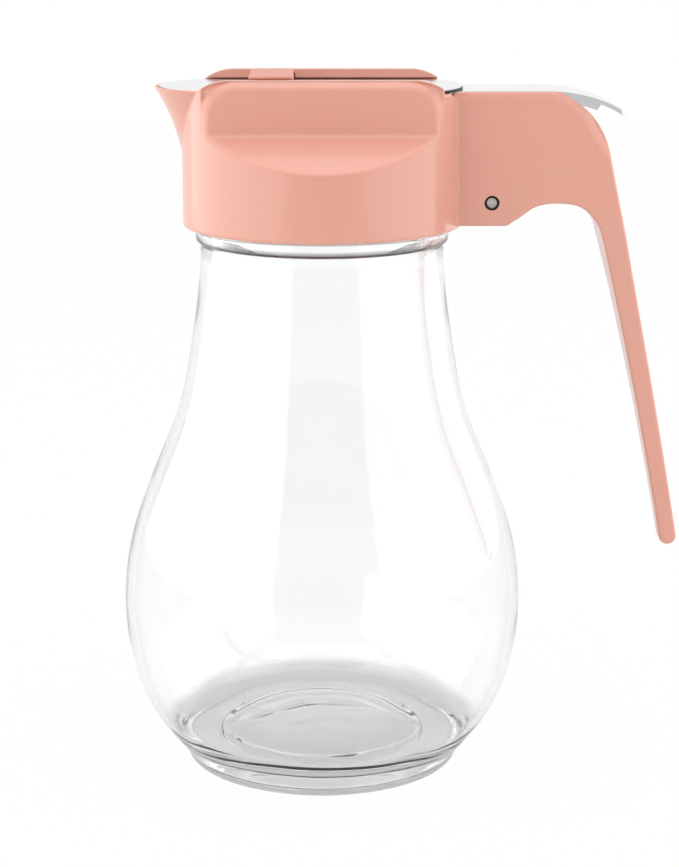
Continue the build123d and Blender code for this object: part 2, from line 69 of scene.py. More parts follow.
class Sock:
    """A shader socket that takes part in Python sums, each of which adds a Math node."""

    def __init__(self, tree: "Tree", socket: bpy.types.NodeSocket) -> None:
        """Wraps a node's output.

        Args:
            tree: the node tree that the socket is in.
            socket: the output socket.
        """
        self.tree = tree
        self.socket = socket

    def _sum(self, operation: str, first: "Value", second: "Value") -> "Sock":
        """Adds one Math node and returns its result."""
        node = self.tree.add("ShaderNodeMath", {"operation": operation}, {0: first, 1: second})
        return self.tree.out(node)

    def __add__(self, other: "Value") -> "Sock":
        """Self plus other."""
        return self._sum("ADD", self, other)

    def __radd__(self, other: "Value") -> "Sock":
        """Other plus self."""
        return self._sum("ADD", other, self)

    def __sub__(self, other: "Value") -> "Sock":
        """Self minus other."""
        return self._sum("SUBTRACT", self, other)

    def __rsub__(self, other: "Value") -> "Sock":
        """Other minus self."""
        return self._sum("SUBTRACT", other, self)

    def __mul__(self, other: "Value") -> "Sock":
        """Self times other."""
        return self._sum("MULTIPLY", self, other)

    def __rmul__(self, other: "Value") -> "Sock":
        """Other times self."""
        return self._sum("MULTIPLY", other, self)

    def __truediv__(self, other: "Value") -> "Sock":
        """Self divided by other."""
        return self._sum("DIVIDE", self, other)

    def __rtruediv__(self, other: "Value") -> "Sock":
        """Other divided by self."""
        return self._sum("DIVIDE", other, self)

    def __pow__(self, other: "Value") -> "Sock":
        """Self to the power of other."""
        return self._sum("POWER", self, other)

    def __rpow__(self, other: "Value") -> "Sock":
        """Other to the power of self."""
        return self._sum("POWER", other, self)

    def least(self, other: "Value") -> "Sock":
        """The smaller of self and other."""
        return self._sum("MINIMUM", self, other)

    def most(self, other: "Value") -> "Sock":
        """The larger of self and other."""
        return self._sum("MAXIMUM", self, other)


Value = Union[Sock, Number, Sequence[float]]


class Tree:
    """The node tree of one material, or of the world."""

    def __init__(self, nodes: bpy.types.NodeTree) -> None:
        """Empties a node tree and keeps it.

        Args:
            nodes: the tree to write into.
        """
        self.nodes = nodes
        nodes.nodes.clear()

    def add(
        self, kind: str, settings: Optional[dict] = None, inputs: Optional[dict] = None
    ) -> bpy.types.Node:
        """Adds any node.

        Args:
            kind: the node's type name.
            settings: properties that are set before the sockets are filled.
            inputs: values or links, by socket name or number.

        Returns:
            The new node.
        """
        node = self.nodes.nodes.new(kind)
        for key, value in (settings or {}).items():
            if key == "stops":
                self._set_stops(node, value)
            else:
                setattr(node, key, value)
        for key, value in (inputs or {}).items():
            if isinstance(value, Sock):
                self.nodes.links.new(value.socket, node.inputs[key])
            else:
                node.inputs[key].default_value = value
        return node

    @staticmethod
    def _set_stops(node: bpy.types.Node, stops: Sequence[tuple[float, Sequence[float]]]) -> None:
        """Writes a colour ramp's stops."""
        elements = node.color_ramp.elements
        while len(elements) < len(stops):
            elements.new(1.0)
        for element, (place, colour) in zip(elements, stops):
            element.position = place
            element.color = (*colour, 1.0)

    def out(self, node: bpy.types.Node, name: Union[str, int] = 0) -> Sock:
        """Wraps one of a node's outputs."""
        return Sock(self, node.outputs[name])

    def place(self, scale: Sequence[float] = (1.0, 1.0, 1.0)) -> Sock:
        """Object coordinates, stretched.

        Args:
            scale: factor along each axis.

        Returns:
            The coordinates.
        """
        here = self.out(self.add("ShaderNodeTexCoord"), "Object")
        return self.out(self.add("ShaderNodeMapping", None, {"Vector": here, "Scale": scale}))

    def noise(self, where: Sock, scale: float, detail: float = 3.0, distortion: float = 0.0) -> Sock:
        """Fractal noise from nought to one.

        Args:
            where: coordinates.
            scale: repeats a metre.
            detail: octaves.
            distortion: how far the pattern is pulled about.

        Returns:
            The noise value.
        """
        values = {"Vector": where, "Scale": scale, "Detail": detail, "Distortion": distortion}
        return self.out(self.add("ShaderNodeTexNoise", None, values), 0)

    def mix(self, factor: Value, first: Value, second: Value) -> Sock:
        """Mixes two colours.

        Args:
            factor: share of the second colour.
            first: colour at nought.
            second: colour at one.

        Returns:
            The mixed colour.
        """
        opaque = [c if isinstance(c, Sock) else (*c, 1.0) for c in (first, second)]
        node = self.add("ShaderNodeMix", {"data_type": "RGBA"}, {0: factor, 6: opaque[0], 7: opaque[1]})
        return self.out(node, 2)

    def bump(self, height: Sock, distance: float) -> Sock:
        """A normal from a height.

        Args:
            height: height from nought to one.
            distance: metres that a height of one stands for.

        Returns:
            The normal.
        """
        values = {"Height": height, "Distance": distance, "Strength": 1.0}
        return self.out(self.add("ShaderNodeBump", None, values))

    def clamp(self, value: Sock) -> Sock:
        """Keeps a value between nought and one."""
        return value.most(0.0).least(1.0)

    def surface(self, inputs: dict) -> None:
        """Ends the tree in a Principled shader.

        Args:
            inputs: values or links by socket name.
        """
        shader = self.add("ShaderNodeBsdfPrincipled", None, inputs)
        self.add("ShaderNodeOutputMaterial", None, {"Surface": self.out(shader)})


def new_material(name: str) -> tuple[bpy.types.Material, Tree]:
    """Makes an empty material.

    Args:
        name: its name.

    Returns:
        The material and its tree.
    """
    material = bpy.data.materials.new(name)
    material.use_nodes = True
    return material, Tree(material.node_tree)


# ----- finishes ------------------------------------------------------------------------


@dataclass(frozen=True)
class MouldedPlastic:
    """Satin injection-moulded plastic with a faint flow pattern and fine grain."""

    name: str
    colour: Colour
    deep: Colour
    roughness: float = 0.3
    coat: float = 0.5
    coat_roughness: float = 0.12
    flow_scale: float = 38.0
    grain_scale: float = 2600.0
    grain_height: float = 0.0015 * MM
    peel_scale: float = 420.0
    peel_height: float = 0.004 * MM
    subsurface: float = 0.12
    subsurface_depth: float = 1.6 * MM

    def make(self) -> bpy.types.Material:
        """Builds the material."""
        material, tree = new_material(self.name)
        flow = tree.noise(tree.place((1.0, 1.0, 2.2)), self.flow_scale, 2.0, 0.6)
        grain = tree.noise(tree.place(), self.grain_scale, 2.0)
        peel = tree.noise(tree.place(), self.peel_scale, 2.0)
        tone = (flow - 0.35) * 0.55
        height = peel + grain * (self.grain_height / self.peel_height)
        tree.surface(
            {
                "Base Color": tree.mix(tree.clamp(tone), self.colour, self.deep),
                "Roughness": self.roughness + (peel - 0.5) * 0.08 + (flow - 0.5) * 0.06,
                "Normal": tree.bump(height, self.peel_height),
                "IOR": 1.49,
                "Coat Weight": self.coat,
                "Coat Roughness": self.coat_roughness,
                "Subsurface Weight": self.subsurface,
                "Subsurface Radius": (1.0, 0.45, 0.3),
                "Subsurface Scale": self.subsurface_depth,
            }
        )
        return material


class Lay(Enum):
    """Direction of a metal's drawn or rolled grain."""

    ALONG = (6.0, 240.0, 240.0)
    ACROSS = (240.0, 6.0, 240.0)
    UPRIGHT = (240.0, 240.0, 6.0)
    NONE = (60.0, 60.0, 60.0)


@dataclass(frozen=True)
class SheetSteel:
    """Rolled stainless sheet with fine grain lines and faint smudges, and a dark colour for marked faces."""

    name: str
    lay: Lay
    colour: Colour = (0.86, 0.87, 0.88)
    dull: Colour = (0.72, 0.73, 0.745)
    roughness: float = 0.2
    line_scale: float = 26.0
    line_height: float = 0.0016 * MM
    smudge_scale: float = 90.0
    smudge_share: float = 0.3
    # Colour of the marked faces: painted shade on the gate's edges, and the pin's dark rings.
    cut: Colour = (0.12, 0.115, 0.115)

    def make(self) -> bpy.types.Material:
        """Builds the material."""
        material, tree = new_material(self.name)
        lines = tree.noise(tree.place(self.lay.value), self.line_scale, 4.0)
        smudge = tree.noise(tree.place(), self.smudge_scale, 3.0, 0.8)
        # Faces marked with the attribute are painted dark and rougher: painted shade on the gate, a dark ring
        # on the pin.
        cut = tree.out(tree.add("ShaderNodeAttribute", {"attribute_name": PAINTED_SHADE_AND_RING}), "Fac")
        face = tree.mix(lines * 0.4 + smudge * self.smudge_share, self.colour, self.dull)
        tree.surface(
            {
                "Base Color": tree.mix(cut, face, self.cut),
                "Metallic": 1.0,
                "Roughness": self.roughness + (lines - 0.5) * 0.12 + (smudge - 0.5) * 0.1 + cut * 0.3,
                "Normal": tree.bump(lines, self.line_height),
            }
        )
        return material


@dataclass(frozen=True)
class PressedGlass:
    """Clear soda-lime glass that greys a little where it is seen edge on."""

    name: str
    clear: Colour = (0.988, 0.988, 0.988)
    # Painted shade: the wall greys where it is seen edge on, for the darker surroundings seen in the glass
    # there.
    edge: Colour = (0.8, 0.805, 0.81)
    edge_blend: float = 0.25
    # Painted shade: the glass greys towards the bottom, for the shadowed floor seen through the base.
    base: Colour = (0.68, 0.68, 0.68)
    base_top: float = 8.4 * MM
    base_fade: float = 1.6 * MM
    # Painted shade: a dark line round the jar at the bead's lower edge.
    lip: Colour = (0.35, 0.35, 0.35)
    lip_height: float = 113.95 * MM
    lip_half: float = 0.6 * MM
    wave_scale: float = 55.0
    wave_height: float = 0.02 * MM
    ior: float = 1.5

    def make(self) -> bpy.types.Material:
        """Builds the material."""
        material, tree = new_material(self.name)
        facing = tree.out(tree.add("ShaderNodeLayerWeight", None, {"Blend": self.edge_blend}), "Facing")
        waves = tree.noise(tree.place((1.0, 1.0, 0.5)), self.wave_scale, 2.0, 0.4)
        height = tree.out(tree.add("ShaderNodeSeparateXYZ", None, {0: tree.place()}), "Z")
        # Painted shade towards the bottom of the jar.
        base = tree.clamp((self.base_top - height) / self.base_fade)
        # Painted shade where the wall is seen edge on.
        wall = tree.mix(facing ** 2.0, self.clear, self.edge)
        # Painted shade: the dark line round the bead's lower edge.
        off_lip = (height - self.lip_height).most(self.lip_height - height)
        lip = tree.clamp((1.0 - off_lip / self.lip_half) * 2.0)
        tree.surface(
            {
                "Base Color": tree.mix(lip, tree.mix(base, wall, self.base), self.lip),
                "Roughness": 0.004 + waves * 0.006,
                "Transmission Weight": 1.0,
                "IOR": self.ior,
                "Normal": tree.bump(waves, self.wave_height),
            }
        )
        return material


@dataclass(frozen=True)
class SiliconeRubber:
    """Matt off-white silicone with a dusty, fine grain."""

    name: str
    colour: Colour = (0.78, 0.77, 0.74)
    dust: Colour = (0.87, 0.86, 0.84)
    grain_scale: float = 1500.0
    grain_height: float = 0.01 * MM

    def make(self) -> bpy.types.Material:
        """Builds the material."""
        material, tree = new_material(self.name)
        grain = tree.noise(tree.place(), self.grain_scale, 3.0)
        tree.surface(
            {
                "Base Color": tree.mix(grain, self.colour, self.dust),
                "Roughness": 0.6 + grain * 0.2,
                "Normal": tree.bump(grain, self.grain_height),
            }
        )
        return material


# ----- meshes -----------------------------------------------------------------------------


@dataclass(frozen=True)
class Piece:
    """What a finished mesh is called, rides on, replaces and is made of."""

    name: str
    body: str
    slot: str
    stands_for: tuple[str, ...] = ()
    sharp_angle: float = 32.0
    flat_first: bool = False


def new_object(name: str, data: bpy.types.ID) -> bpy.types.Object:
    """Puts a new object in the scene.

    Args:
        name: its name.
        data: its mesh, curve, lamp or camera.

    Returns:
        The object.
    """
    obj = bpy.data.objects.new(name, data)
    bpy.context.scene.collection.objects.link(obj)
    return obj


def mesh_object(name: str, bm: bmesh.types.BMesh) -> bpy.types.Object:
    """Turns a finished bmesh into an object, and frees it.

    Args:
        name: the object's name.
        bm: the bmesh.

    Returns:
        The object.
    """
    mesh = bpy.data.meshes.new(name)
    bm.to_mesh(mesh)
    bm.free()
    return new_object(name, mesh)


class Shape:
    """A mesh in the making."""

    def __init__(self) -> None:
        """Starts empty."""
        self.bm = bmesh.new()

    @classmethod
    def of_node(cls, node: str) -> "Shape":
        """A merged copy of a CAD node's mesh.

        Args:
            node: the node's name.

        Returns:
            The copy.
        """
        shape = cls()
        shape.bm.from_mesh(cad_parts[node].data)
        bmesh.ops.remove_doubles(shape.bm, verts=shape.bm.verts[:], dist=0.001 * MM)
        return shape

    def dissolve(self, angle: float = 0.2) -> "Shape":
        """Joins faces that lie in one plane.

        Args:
            angle: the most that two joined faces may differ, in degrees.

        Returns:
            Itself.
        """
        bm = self.bm
        bmesh.ops.dissolve_limit(bm, angle_limit=math.radians(angle), verts=bm.verts[:], edges=bm.edges[:])
        return self

    def bevel(
        self, width: float, segments: int, only: Optional[Callable[[Vector], bool]] = None
    ) -> "Shape":
        """Rounds the edges that are sharper than SHARP_EDGE.

        Args:
            width: the bevel's width.
            segments: faces across it.
            only: a test that an edge's middle has to pass.

        Returns:
            Itself.
        """
        chosen = [
            edge
            for edge in self.bm.edges
            if edge.is_manifold
            and edge.calc_face_angle(0.0) > SHARP_EDGE
            and (only is None or only((edge.verts[0].co + edge.verts[1].co) / 2))
        ]
        bmesh.ops.bevel(
            self.bm,
            geom=chosen,
            offset=width,
            offset_type="OFFSET",
            affect="EDGES",
            segments=segments,
            profile=0.5,
            material=-1,
            clamp_overlap=True,
        )
        return self

    def spin(
        self,
        profile: Sequence[Point2],
        steps: int,
        centre: Vector = Vector((0, 0, 0)),
        axis: Vector = Vector((0, 0, 1)),
    ) -> "Shape":
        """Turns an outline about an axis square to X into a closed solid.

        Args:
            profile: (distance from the axis, place along it) of each point.
            steps: faces round a full turn.
            centre: a point of the axis.
            axis: the axis.

        Returns:
            Itself.
        """
        bm = self.bm
        out = Vector((1, 0, 0))
        points = [bm.verts.new(centre + out * r + axis * z) for r, z in profile]
        edges = [bm.edges.new(pair) for pair in zip(points, points[1:])]
        bmesh.ops.spin(
            bm, geom=points + edges, cent=centre, axis=axis, dvec=(0, 0, 0),
            angle=2 * math.pi, steps=steps, use_merge=True, use_normal_flip=False, use_duplicate=False,
        )
        bmesh.ops.remove_doubles(bm, verts=bm.verts[:], dist=0.002 * MM)
        bmesh.ops.recalc_face_normals(bm, faces=bm.faces[:])
        return self

    def move(self, shift: Callable[[Vector], Vector]) -> "Shape":
        """Moves each vertex by a function of its place.

        Args:
            shift: gives the move of a place.

        Returns:
            Itself.
        """
        for vertex in self.bm.verts:
            vertex.co += shift(vertex.co)
        return self

    def mark_shade_and_rings(self, is_marked_dark: Callable[[bmesh.types.BMFace], bool]) -> "Shape":
        """Marks the faces that are painted dark and rough: painted shade along the gate's edges, and a dark
        ring round each end of the pin.

        Args:
            is_marked_dark: tells whether a face is one of them.

        Returns:
            Itself.
        """
        layer = self.bm.faces.layers.float.new(PAINTED_SHADE_AND_RING)
        self.bm.normal_update()
        for face in self.bm.faces:
            face[layer] = 1.0 if is_marked_dark(face) else 0.0
        return self

    def finish(self, piece: Piece, material: bpy.types.Material) -> bpy.types.Object:
        """Makes the object, dresses it and lets it ride.

        Args:
            piece: the piece's name, body, slot and replaced nodes.
            material: its finish.

        Returns:
            The object.
        """
        for face in self.bm.faces:
            face.smooth = True
        limit = math.radians(piece.sharp_angle)
        for edge in self.bm.edges:
            edge.smooth = not (edge.is_manifold and edge.calc_face_angle(0.0) > limit)
        obj = mesh_object(piece.name, self.bm)
        obj.data.materials.append(material)
        return settle(obj, piece)


def settle(obj: bpy.types.Object, piece: Piece) -> bpy.types.Object:
    """Lets an object ride on its body and stand for its nodes.

    Args:
        obj: the object.
        piece: what it is.

    Returns:
        The object.
    """
    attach(obj, piece.body)
    if piece.stands_for:
        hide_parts(*piece.stands_for)
    if piece.flat_first:
        obj.modifiers.new("flat faces first", "WEIGHTED_NORMAL").keep_sharp = True
    log.info("%s: %d faces on %s", piece.name, len(obj.data.polygons), piece.body)
    return obj


def smooth_step(value: float, low: float, high: float) -> float:
    """Nought below low, one above high, and a soft rise between.

    Args:
        value: the value.
        low: where the rise starts.
        high: where it ends.

    Returns:
        The share.
    """
    share = min(max((value - low) / (high - low), 0.0), 1.0)
    return share * share * (3.0 - 2.0 * share)


def through(points: Sequence[Point2], start: Point2, end: Point2, step: float) -> list[Point2]:
    """A smooth curve through points, as short runs.

    Args:
        points: the points.
        start: direction at the first point.
        end: direction at the last point.
        step: rough length of a run.

    Returns:
        The curve's points.
    """
    found: list[Point2] = []
    last = len(points) - 1
    slopes = []
    for i in range(last + 1):
        before, after = points[max(i - 1, 0)], points[min(i + 1, last)]
        slopes.append(Vector((after[0] - before[0], after[1] - before[1])).normalized())
    slopes[0], slopes[-1] = Vector(start).normalized(), Vector(end).normalized()
    for i in range(last):
        a, b = Vector(points[i]), Vector(points[i + 1])
        run = (b - a).length
        count = max(2, round(run / step))
        for k in range(count):
            t = k / count
            spot = (
                a * (2 * t ** 3 - 3 * t ** 2 + 1)
                + slopes[i] * run * (t ** 3 - 2 * t ** 2 + t)
                + b * (3 * t ** 2 - 2 * t ** 3)
                + slopes[i + 1] * run * (t ** 3 - t ** 2)
            )
            found.append((spot.x, spot.y))
    found.append(points[-1])
    return found


def rounded(corners: Sequence[Point2], radius: float, steps: int = 4, closed: bool = False) -> list[Point2]:
    """An outline with each of its corners rounded.

    Args:
        corners: the corner points.
        radius: the most that a corner is cut back.
        steps: runs round a corner.
        closed: whether the outline joins up.

    Returns:
        The outline's points.
    """
    found: list[Point2] = []
    count = len(corners)
    for i, corner in enumerate(corners):
        here = Vector(corner)
        if not closed and i in (0, count - 1):
            found.append(corner)
            continue
        before, after = Vector(corners[i - 1]), Vector(corners[(i + 1) % count])
        reach = min(radius, (before - here).length / 2, (after - here).length / 2)
        a = here + (before - here).normalized() * reach
        b = here + (after - here).normalized() * reach
        for k in range(steps + 1):
            t = k / steps
            spot = a * (1 - t) ** 2 + here * 2 * t * (1 - t) + b * t ** 2
            found.append((spot.x, spot.y))
    return found


# ----- the jar ---------------------------------------------------------------------------------


@dataclass
class Jar:
    """The pear-shaped glass jar, blown in a mould, with an uneven inside."""

    foot: Point2 = (29.5 * MM, 1.7 * MM)
    foot_ring_inner: float = 22.4 * MM
    foot_edge: float = 0.4 * MM
    foot_round: float = 0.3 * MM
    push_up: float = 2.4 * MM
    push_up_step: float = 0.6 * MM
    push_up_runs: int = 12
    outer: tuple[Point2, ...] = (
        (33.2 * MM, 6.0 * MM), (38.0 * MM, 13.0 * MM), (41.35 * MM, 22.0 * MM),
        (42.84 * MM, 34.5 * MM), (41.45 * MM, 48.0 * MM), (36.85 * MM, 62.0 * MM),
        (30.6 * MM, 78.0 * MM), (27.4 * MM, 94.0 * MM), (25.6 * MM, 110.5 * MM),
    )
    wall: float = 2.1 * MM
    heel: tuple[Point2, ...] = ((29.6 * MM, 6.2 * MM), (33.4 * MM, 9.2 * MM), (36.7 * MM, 14.4 * MM))
    heel_end: Point2 = (-0.85, -0.52)
    floor_disc: Point2 = (21.4 * MM, 6.0 * MM)
    floor_step: float = 0.5 * MM
    floor_round: float = 0.4 * MM
    floor_top: float = 7.8 * MM
    floor_runs: int = 24
    bead: tuple[float, float, float] = (26.6 * MM, 113.4 * MM, 116.4 * MM)
    bead_slope: float = 0.3 * MM
    bead_round: float = 0.9 * MM
    finish_radius: float = 24.7 * MM
    mouth_radius: float = 22.3 * MM
    mouth_bottom: float = 118.0 * MM
    rim: float = 128.8 * MM
    rim_edge: float = 0.8 * MM
    thread_start: float = 119.6 * MM
    thread_pitch: float = 4.0 * MM
    thread_first: float = math.radians(40.0)
    thread_sweep: float = math.radians(450.0)
    thread_fade: float = math.radians(24.0)
    thread_height: float = 1.2 * MM
    thread_root_half: float = 1.0 * MM
    thread_crest_half: float = 0.5 * MM
    run: float = 1.0 * MM
    thread_run: float = 0.28 * MM
    steps: int = 240
    ripple: float = 0.22 * MM
    ripple_scale: float = 70.0
    ripple_start: Point2 = (4.0 * MM, 5.5 * MM)
    ripple_end: Point2 = (8.0 * MM, 26.0 * MM)
    wobble: float = 0.05 * MM
    wobble_scale: float = 30.0

    def profile(self) -> list[Point2]:
        """The closed outline from the push-up's middle, out, up, over the rim and down inside."""
        edge = self.foot_edge
        base = rounded(
            [
                (self.foot_ring_inner - edge, self.push_up_step),
                (self.foot_ring_inner, 0.0),
                (self.foot[0] - edge, 0.0),
                (self.foot[0], edge),
                self.foot,
            ],
            self.foot_round,
        )
        dome = [
            (share * base[0][0], self.push_up - (self.push_up - base[0][1]) * share ** 2)
            for share in (k / self.push_up_runs for k in range(self.push_up_runs))
        ]
        body = through([self.foot, *self.outer], (0.72, 0.7), (-0.05, 1.0), self.run)
        bead_out, bead_low, bead_high = self.bead
        bead = rounded(
            [
                (self.outer[-1][0], bead_low),
                (bead_out, bead_low + self.bead_slope),
                (bead_out, bead_high - self.bead_slope),
                (self.outer[-1][0], bead_high),
            ],
            self.bead_round,
            6,
        )
        rise = self.rim - self.rim_edge - bead_high
        count = round(rise / self.thread_run)
        finish = [(self.finish_radius, bead_high + rise * k / count) for k in range(count + 1)]
        mouth = rounded(
            [
                finish[-1],
                (self.finish_radius, self.rim),
                (self.mouth_radius, self.rim),
                (self.mouth_radius, self.mouth_bottom),
            ],
            self.rim_edge,
            5,
        )
        steady = [(r - self.wall, z) for r, z in self.outer[2:]]
        inner_points = [(self.mouth_radius, self.mouth_bottom), *reversed(steady), *reversed(self.heel)]
        inside = through(inner_points, (0.0, -1.0), self.heel_end, self.run)
        disc, step = self.floor_disc, self.floor_step
        top_edge = (disc[0] - step, disc[1] + step)
        shelf = rounded([inside[-1], (disc[0] + step, disc[1]), top_edge], self.floor_round, 3)
        floor = [
            (top_edge[0] * share, self.floor_top - (self.floor_top - top_edge[1]) * share ** 2)
            for share in (k / self.floor_runs for k in range(self.floor_runs - 1, -1, -1))
        ]
        return [*dome, *base, *body[1:], *bead, *finish[1:-1], *mouth, *inside[1:-1], *shelf, *floor]

    def thread_rise(self, angle: float, height: float) -> float:
        """How far the thread stands out at a place of the finish.

        Args:
            angle: angle about the jar's axis.
            height: height over the foot.

        Returns:
            The rise over the finish.
        """
        first = (angle - self.thread_first) % (2 * math.pi)
        best = 0.0
        for turned in (first, first + 2 * math.pi):
            if turned > self.thread_sweep:
                continue
            off = abs(height - self.thread_start - self.thread_pitch * turned / (2 * math.pi))
            share = (self.thread_root_half - off) / (self.thread_root_half - self.thread_crest_half)
            fade = smooth_step(turned, 0, self.thread_fade)
            fade *= smooth_step(self.thread_sweep - turned, 0, self.thread_fade)
            best = max(best, min(max(share, 0.0), 1.0) * fade)
        return best * self.thread_height

    def shift(self, place: Vector) -> Vector:
        """The move of a vertex: the thread outside, and uneven glass inside.

        Args:
            place: where the vertex is on the turned outline.

        Returns:
            Its move.
        """
        radius = math.hypot(place.x, place.y)
        out = Vector((place.x, place.y, 0.0)) / radius if radius > 0.1 * MM else Vector((0, 0, 0))
        if place.z > self.bead[2] and abs(radius - self.finish_radius) < 0.01 * MM:
            return out * self.thread_rise(math.atan2(place.y, place.x), place.z)
        on_floor = 1.0 - smooth_step(place.z, *self.ripple_end)
        above_bottom = smooth_step(place.z, *self.ripple_start)
        inner = 1.0 if self.is_inside(radius, place.z) else 0.0
        bumps = noise.noise(place * self.ripple_scale) + 0.5 * noise.noise(place * self.ripple_scale * 2.3)
        up = Vector((0, 0, 1)) * (self.ripple * bumps * on_floor * above_bottom * inner)
        sway = noise.noise(place * self.wobble_scale) * self.wobble * inner
        return up + out * sway

    def is_inside(self, radius: float, height: float) -> bool:
        """Whether a place of the outline is on the jar's inner surface.

        Args:
            radius: distance from the axis.
            height: height over the foot.

        Returns:
            True on the inner surface.
        """
        if height > self.outer[-1][1] or height < self.ripple_start[0]:
            return False
        corners = [self.foot, *self.outer]
        for (r0, z0), (r1, z1) in zip(corners, corners[1:]):
            if z0 <= height <= z1:
                return radius < r0 + (r1 - r0) * (height - z0) / (z1 - z0) - self.wall / 2
        return True

    def build(self) -> None:
        """Makes the glass."""
        shape = Shape().spin(self.profile(), self.steps).move(self.shift)
        piece = Piece("jar_glass", "jar", "clear_glass", ("glass_jar",), 60.0)
        shape.finish(piece, PressedGlass("pressed glass").make())


@dataclass
class Gasket:
    """The flat seal under the head, with rounded edges."""

    inner: float = 21.8 * MM
    edge: float = 0.25 * MM
    steps: int = 160

    def build(self) -> None:
        """Makes the seal from its node's size."""
        low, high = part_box("rim_gasket")
        corners = [(self.inner, low.z), (high.x, low.z), (high.x, high.z), (self.inner, high.z)]
        outline = rounded(corners, self.edge, 3, True)
        shape = Shape().spin([*outline, outline[0]], self.steps)
        piece = Piece("seal_ring", "seal", "gasket_rubber", ("rim_gasket",))
        shape.finish(piece, SiliconeRubber("silicone").make())


# ----- the head ----------------------------------------------------------------------------------


@dataclass
class PourHead:
    """The moulding of collar, ridge, spout and handle, with every edge softened."""

    voxel: float = 0.22 * MM
    quick_voxel: float = 0.4 * MM
    most_triangles: int = 190000
    soft_reach: float = 1.5 * MM
    sharp_angle: float = math.radians(40.0)
    scoop_half: float = 23.2 * MM
    scoop_top: float = 145.6 * MM
    scoop_corner: float = 6.5 * MM
    brow_width: float = 2.6 * MM
    brow_depth: float = 1.6 * MM
    brow_side: Point2 = (15.8 * MM, 17.2 * MM)
    brow_foot: float = 137.0 * MM
    brow_end: float = 24.5 * MM
    web_outline: tuple[Point2, ...] = (
        (26.0 * MM, 145.5 * MM), (46.7 * MM, 145.5 * MM), (50.1 * MM, 144.3 * MM),
        (54.7 * MM, 141.0 * MM), (58.8 * MM, 134.2 * MM), (60.0 * MM, 129.2 * MM),
    )
    web_foot: Point2 = (8.0 * MM, 117.4 * MM)
    web_spread: float = 0.0623
    border_width: float = 3.6 * MM
    border_depth: float = 1.0 * MM
    border_wall: float = 1.15 * MM
    border_start: float = 29.8 * MM
    border_foot: Point2 = (129.2 * MM, 134.0 * MM)
    soft_foot: Point2 = (121.0 * MM, 123.0 * MM)
    soft_top: Point2 = (144.5 * MM, 146.5 * MM)
    soft_radius: Point2 = (26.9 * MM, 27.6 * MM)
    soft_side: Point2 = (16.2 * MM, 17.0 * MM)
    soft_handle: Point2 = (24.0 * MM, 26.0 * MM)
    lip_foot: Point2 = (143.2 * MM, 144.6 * MM)
    lip_start: Point2 = (14.0 * MM, 17.0 * MM)

    def build(self, plastic: bpy.types.Material) -> None:
        """Makes the head.

        Args:
            plastic: its finish.
        """
        voxel = self.voxel
        obj = mesh_object("pouring_head", Shape.of_node("pour_head").bm)
        remesh = obj.modifiers.new("even skin", "REMESH")
        remesh.mode = "VOXEL"
        remesh.voxel_size = voxel
        remesh.use_smooth_shade = True
        self.apply(obj)
        for vertex in obj.data.vertices:
            inward = self.brow(vertex.co) + self.border(vertex.co)
            vertex.co.y -= math.copysign(inward, vertex.co.y)
        self.soften(obj, round((self.soft_reach / voxel) ** 2))
        thin = obj.modifiers.new("fewer faces", "DECIMATE")
        thin.ratio = min(1.0, self.most_triangles / (2 * len(obj.data.polygons)))
        self.apply(obj)
        obj.data.set_sharp_from_angle(angle=self.sharp_angle)
        weights = obj.modifiers.new("flat faces first", "WEIGHTED_NORMAL")
        weights.keep_sharp = True
        self.apply(obj)
        obj.data.materials.clear()
        obj.data.materials.append(plastic)
        settle(obj, Piece("pouring_head", "head", "pink_plastic", ("pour_head",)))

    def soften(self, obj: bpy.types.Object, turns: int) -> None:
        """Smooths the outside of collar, ridge and scoops.

        Args:
            obj: the head.
            turns: how many times each vertex moves towards its neighbours.
        """
        levels: dict[int, list[int]] = {}
        for vertex in obj.data.vertices:
            level = round(10 * self.softness(vertex.co))
            if level:
                levels.setdefault(level, []).append(vertex.index)
        group = obj.vertex_groups.new(name="soft")
        for level, numbers in levels.items():
            group.add(numbers, level / 10, "REPLACE")
        smooth = obj.modifiers.new("soft edges", "SMOOTH")
        smooth.factor = 0.5
        smooth.iterations = turns
        smooth.vertex_group = "soft"
        self.apply(obj)

    def brow(self, place: Vector) -> float:
        """How far a scoop's wall draws back round its upper border.

        Args:
            place: where it is.

        Returns:
            The move towards the head's middle.
        """
        side = abs(place.y)
        if side < self.brow_side[0] or place.z < self.brow_foot or place.x > self.brow_end:
            return 0.0
        along = max(abs(place.x) - self.scoop_half + self.scoop_corner, 0.0)
        above = max(place.z - self.scoop_top + self.scoop_corner, 0.0)
        past = math.hypot(along, above) - self.scoop_corner
        share = min(max(past / self.brow_width, 0.0), 1.0)
        return self.brow_depth * share ** 2 * smooth_step(side, *self.brow_side)

    def border(self, place: Vector) -> float:
        """How far the web's side draws back along its upper border.

        Args:
            place: where it is.

        Returns:
            The move towards the web's middle.
        """
        foot_half, foot = self.web_foot
        half = foot_half + self.web_spread * (place.z - foot)
        low = half - self.border_wall
        if place.x < self.border_start or place.z < self.border_foot[0] or abs(place.y) < low:
            return 0.0
        spot = Vector((place.x, place.z))
        off = min(
            (spot - self.nearest(spot, Vector(a), Vector(b))).length
            for a, b in zip(self.web_outline, self.web_outline[1:])
        )
        share = max(1.0 - off / self.border_width, 0.0) * smooth_step(place.z, *self.border_foot)
        return self.border_depth * share ** 2.5 * min((abs(place.y) - low) / self.border_wall, 1.0)

    @staticmethod
    def nearest(spot: Vector, a: Vector, b: Vector) -> Vector:
        """The point of a run that is nearest to a spot.

        Args:
            spot: the spot.
            a: the run's start.
            b: the run's end.

        Returns:
            The point.
        """
        share = (spot - a).dot(b - a) / (b - a).length_squared
        return a + (b - a) * min(max(share, 0.0), 1.0)

